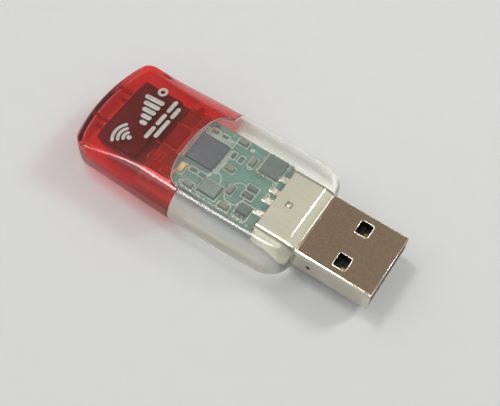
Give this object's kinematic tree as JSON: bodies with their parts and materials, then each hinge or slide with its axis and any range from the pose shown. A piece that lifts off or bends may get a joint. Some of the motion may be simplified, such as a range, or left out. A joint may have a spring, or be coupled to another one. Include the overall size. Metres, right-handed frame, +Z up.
{
  "type": "usb wifi adapter",
  "caption": "Thumb-sized wireless network adapter: clear front housing, red translucent rear cover, USB-A plug, and a circuit board visible inside.",
  "frame": {"origin": "middle of the overall box, on the surface that the adapter lies on", "axes": "+X along the adapter towards the plug's tip, +Y across it, +Z up out of the marked face"},
  "size_m": [0.0534, 0.0216, 0.0077],
  "materials": {
    "cover": "polished translucent red plastic",
    "housing": "polished clear plastic, slightly milky",
    "plug_metal": "nickel-plated sheet steel",
    "insulator": "moulded black plastic",
    "contact": "gold-plated sheet",
    "board": "glass-epoxy laminate under green solder mask",
    "chip": "moulded epoxy package",
    "tin": "tinned sheet metal",
    "ceramic": "ceramic body with tinned ends",
    "led": "amber epoxy lens"
  },
  "bodies": {
    "root": {"rear_cover": "cover", "front_housing": "housing", "plug_shell": "plug_metal", "plug_insulator": "insulator", "contact_ground": "contact", "contact_data_plus": "contact", "contact_data_minus": "contact", "contact_power": "contact", "main_board": "board", "radio_chip": "chip", "memory_chip": "chip", "rf_transceiver": "chip", "power_amplifier": "chip", "eeprom_chip": "chip", "surge_protector": "chip", "voltage_regulator": "chip", "crystal": "tin", "status_led": "led", "rf_filter": "ceramic", "antenna_carrier": "insulator", "antenna_element": "tin", "capacitor_1": "ceramic", "capacitor_2": "ceramic", "capacitor_3": "ceramic", "capacitor_4": "ceramic", "capacitor_5": "ceramic", "capacitor_6": "ceramic", "capacitor_7": "ceramic", "capacitor_8": "ceramic", "capacitor_11": "ceramic", "capacitor_12": "ceramic", "capacitor_13": "ceramic", "resistor_1": "chip", "resistor_2": "chip", "resistor_3": "chip", "resistor_4": "chip", "resistor_5": "chip", "resistor_6": "chip", "resistor_11": "chip", "resistor_12": "chip", "ferrite_bead_1": "chip", "ferrite_bead_2": "chip"}
  },
  "joints": []
}
